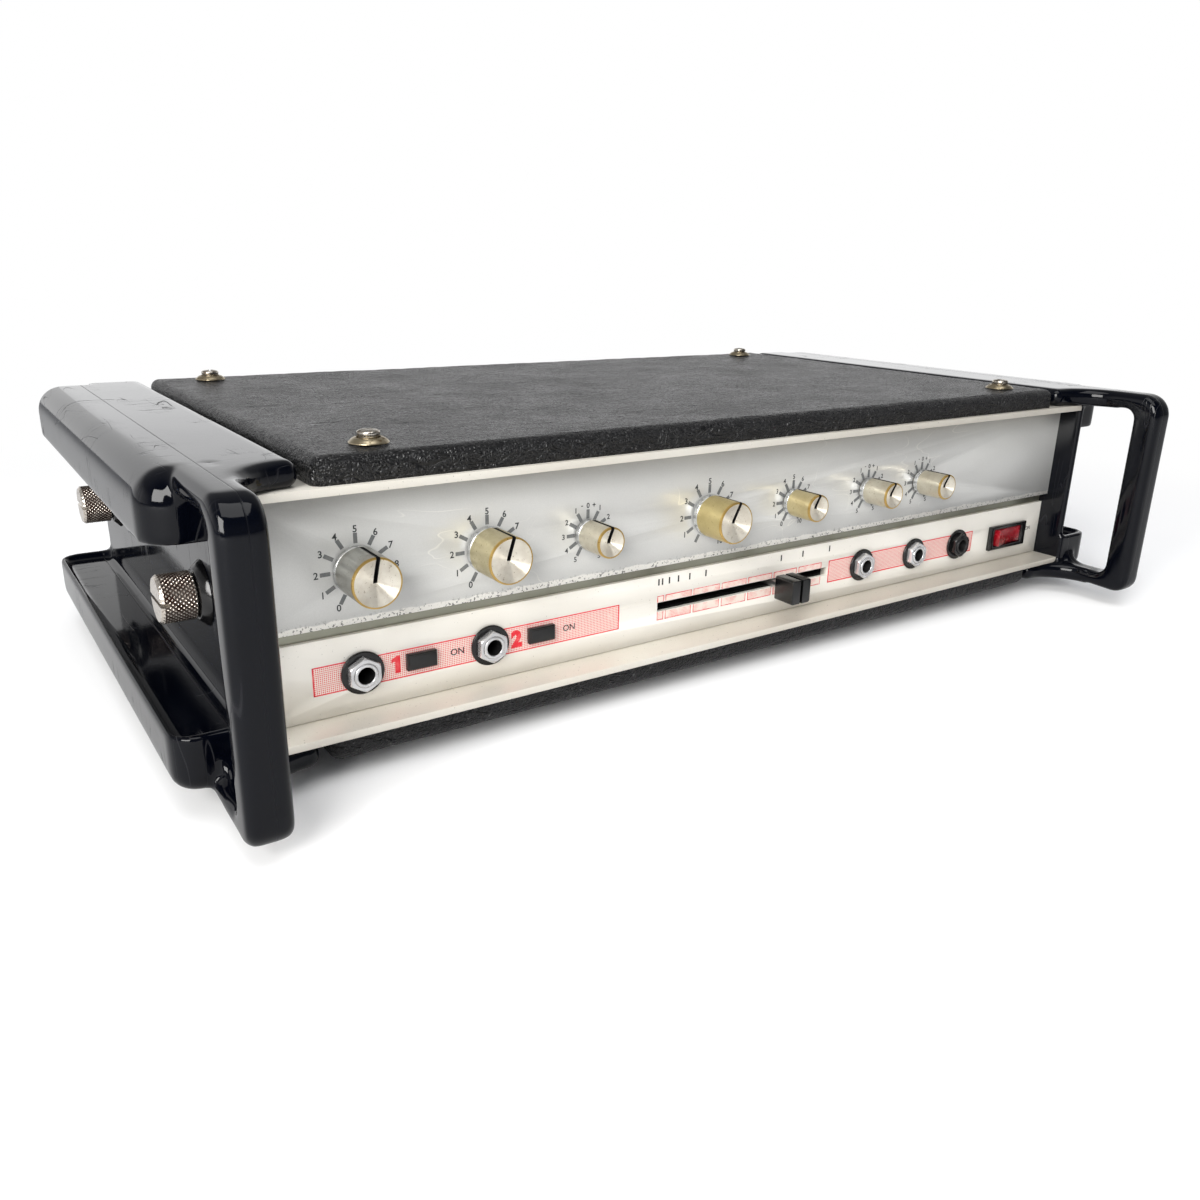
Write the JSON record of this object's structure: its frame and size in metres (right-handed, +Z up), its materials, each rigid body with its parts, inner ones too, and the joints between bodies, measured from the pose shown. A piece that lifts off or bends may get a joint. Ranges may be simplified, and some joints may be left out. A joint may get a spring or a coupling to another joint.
{
  "type": "tape echo unit",
  "caption": "Wide shallow tape echo effects unit with dial knobs, jack sockets, delay slider and moulded end cheeks with handle loops.",
  "frame": {"origin": "middle of the unit's outline on the surface that its rubber feet stand on", "axes": "+X to the right along the front panel, +Y from the front panel to the back, +Z up"},
  "size_m": [0.5416, 0.299, 0.129],
  "materials": {
    "cheek": "glossy black moulded plastic, scuffed",
    "knurled": "worn chrome, rusty in the knurling",
    "collar": "glossy black plastic",
    "steel": "plain steel",
    "vinyl": "black leather-grain vinyl over board",
    "cup": "aged nickel on brass",
    "screw": "aged nickel plate",
    "foot": "black rubber",
    "extrusion": "satin anodised aluminium",
    "upper": "glossy silver-grey panel with dark print",
    "lower": "satin off-white aluminium with black and red print",
    "sheet": "plain sheet aluminium",
    "black": "black plastic",
    "knob_grey": "spun aluminium cap, grey skirt",
    "knob_gold": "champagne anodised skirt, spun cap",
    "pot": "passivated steel",
    "nut": "bright plated",
    "jack": "plated bush in a plastic body",
    "lever": "plain steel",
    "rocker": "translucent red",
    "board": "green circuit board with parts",
    "core": "dark laminations",
    "deck": "grey deck plate",
    "motor": "grey can",
    "belt": "flat rubber belt",
    "fly": "turned steel",
    "bronze": "sintered bronze",
    "roller": "rubber on a steel spindle",
    "head": "plated head shell",
    "guide": "polished guide posts",
    "tape": "brown magnetic tape"
  },
  "bodies": {
    "case": {"left_cheek": "cheek", "right_cheek": "cheek", "thumbscrew_collars": "collar", "thumbscrew_nuts": "steel", "lid": "vinyl", "lid_cup_washers": "cup", "lid_screws": "screw", "bottom_cover": "vinyl", "rubber_feet": "foot", "foot_screws": "steel", "front_extrusion": "extrusion", "upper_fascia": "upper", "lower_fascia": "lower", "chassis_tray": "sheet", "rear_panel": "sheet", "mains_inlet": "black", "fuse_holder": "black", "potentiometers": "pot", "pot_nuts": "nut", "jack_sockets": "jack", "jack_washers": "black", "jack_nuts": "nut", "footswitch_nut": "black", "echo_switch_bodies": "black", "slide_pot": "pot", "mains_switch_frame": "black", "circuit_board": "board", "board_pillars": "steel", "transformer": "core", "deck_plate": "deck", "deck_posts": "steel", "motor": "motor", "drive_belt": "belt", "capstan_bearing": "bronze", "tape_heads": "head", "tape_guides": "guide", "tape_loop": "tape"},
    "thumbscrew_left_front": {"thumbscrew_left_front": "knurled"},
    "thumbscrew_left_rear": {"thumbscrew_left_rear": "knurled"},
    "thumbscrew_right_front": {"thumbscrew_right_front": "knurled"},
    "thumbscrew_right_rear": {"thumbscrew_right_rear": "knurled"},
    "volume_knob_1": {"volume_knob_1": "knob_grey"},
    "volume_knob_2": {"volume_knob_2": "knob_gold"},
    "treble_knob_1": {"treble_knob_1": "knob_gold"},
    "echo_volume_knob": {"echo_volume_knob": "knob_gold"},
    "echo_repeat_knob": {"echo_repeat_knob": "knob_gold"},
    "bass_knob": {"bass_knob": "knob_gold"},
    "treble_knob_2": {"treble_knob_2": "knob_gold"},
    "echo_switch_cap_1": {"echo_switch_cap_1": "black"},
    "echo_switch_cap_2": {"echo_switch_cap_2": "black"},
    "delay_slider": {"slider_knob": "black", "slider_lever": "lever"},
    "mains_rocker": {"mains_rocker": "rocker"},
    "capstan_shaft": {"capstan": "fly", "flywheel": "fly"},
    "motor_pulley": {"motor_pulley": "bronze"},
    "pinch_arm": {"pinch_arm": "steel"},
    "pinch_roller": {"pinch_roller": "roller"}
  },
  "joints": [
    {"name": "volume_knob_1_turn", "type": "hinge", "parent": "case", "child": "volume_knob_1", "pos_m": [-0.1982, -0.1105, 0.0792], "axis": [0, 1, 0], "range_deg": [-154, 146]},
    {"name": "volume_knob_2_turn", "type": "hinge", "parent": "case", "child": "volume_knob_2", "pos_m": [-0.1443, -0.1105, 0.0792], "axis": [0, 1, 0], "range_deg": [-157, 143]},
    {"name": "treble_knob_1_turn", "type": "hinge", "parent": "case", "child": "treble_knob_1", "pos_m": [-0.0967, -0.1105, 0.0792], "axis": [0, 1, 0], "range_deg": [-153, 147]},
    {"name": "echo_volume_knob_turn", "type": "hinge", "parent": "case", "child": "echo_volume_knob", "pos_m": [-0.0304, -0.1105, 0.0792], "axis": [0, 1, 0], "range_deg": [-161, 139]},
    {"name": "echo_repeat_knob_turn", "type": "hinge", "parent": "case", "child": "echo_repeat_knob", "pos_m": [0.0227, -0.1105, 0.0792], "axis": [0, 1, 0], "range_deg": [-151, 149]},
    {"name": "bass_knob_turn", "type": "hinge", "parent": "case", "child": "bass_knob", "pos_m": [0.0762, -0.1105, 0.0792], "axis": [0, 1, 0], "range_deg": [-150, 150]},
    {"name": "treble_knob_2_turn", "type": "hinge", "parent": "case", "child": "treble_knob_2", "pos_m": [0.1181, -0.1105, 0.0792], "axis": [0, 1, 0], "range_deg": [-150, 150]},
    {"name": "echo_switch_1_slide", "type": "slide", "parent": "case", "child": "echo_switch_cap_1", "axis": [1, 0, 0], "range_m": [0, 0.004]},
    {"name": "echo_switch_2_slide", "type": "slide", "parent": "case", "child": "echo_switch_cap_2", "axis": [1, 0, 0], "range_m": [0, 0.004]},
    {"name": "delay_slide", "type": "slide", "parent": "case", "child": "delay_slider", "axis": [1, 0, 0], "range_m": [-0.068, 0.0315]},
    {"name": "mains_rocker_tilt", "type": "hinge", "parent": "case", "child": "mains_rocker", "pos_m": [0.2082, -0.0842, 0.0363], "axis": [0, 0, -1], "range_deg": [0, 14]},
    {"name": "thumbscrew_left_front_turn", "type": "hinge", "parent": "case", "child": "thumbscrew_left_front", "pos_m": [-0.249, -0.0625, 0.0695], "axis": [-1, 0, 0], "continuous": true},
    {"name": "thumbscrew_left_rear_turn", "type": "hinge", "parent": "case", "child": "thumbscrew_left_rear", "pos_m": [-0.249, 0.1055, 0.0695], "axis": [-1, 0, 0], "continuous": true},
    {"name": "thumbscrew_right_front_turn", "type": "hinge", "parent": "case", "child": "thumbscrew_right_front", "pos_m": [0.249, -0.0625, 0.0695], "axis": [1, 0, 0], "continuous": true},
    {"name": "thumbscrew_right_rear_turn", "type": "hinge", "parent": "case", "child": "thumbscrew_right_rear", "pos_m": [0.249, 0.1055, 0.0695], "axis": [1, 0, 0], "continuous": true},
    {"name": "capstan_spin", "type": "hinge", "parent": "case", "child": "capstan_shaft", "pos_m": [-0.06, 0.0985, 0.0645], "axis": [0, 0, 1], "continuous": true},
    {"name": "motor_spin", "type": "hinge", "parent": "case", "child": "motor_pulley", "pos_m": [-0.12, 0.0385, 0.0645], "axis": [0, 0, 1], "continuous": true},
    {"name": "pinch_arm_swing", "type": "hinge", "parent": "case", "child": "pinch_arm", "pos_m": [-0.026, 0.112, 0.0985], "axis": [0, 0, 1], "range_deg": [-12, 0]},
    {"name": "pinch_roller_spin", "type": "hinge", "parent": "pinch_arm", "child": "pinch_roller", "pos_m": [-0.06, 0.112, 0.0885], "axis": [0, 0, 1], "continuous": true}
  ],
  "couplings": [
    {"joint": "motor_spin", "follows": "capstan_spin", "ratio": 4.3333}
  ]
}
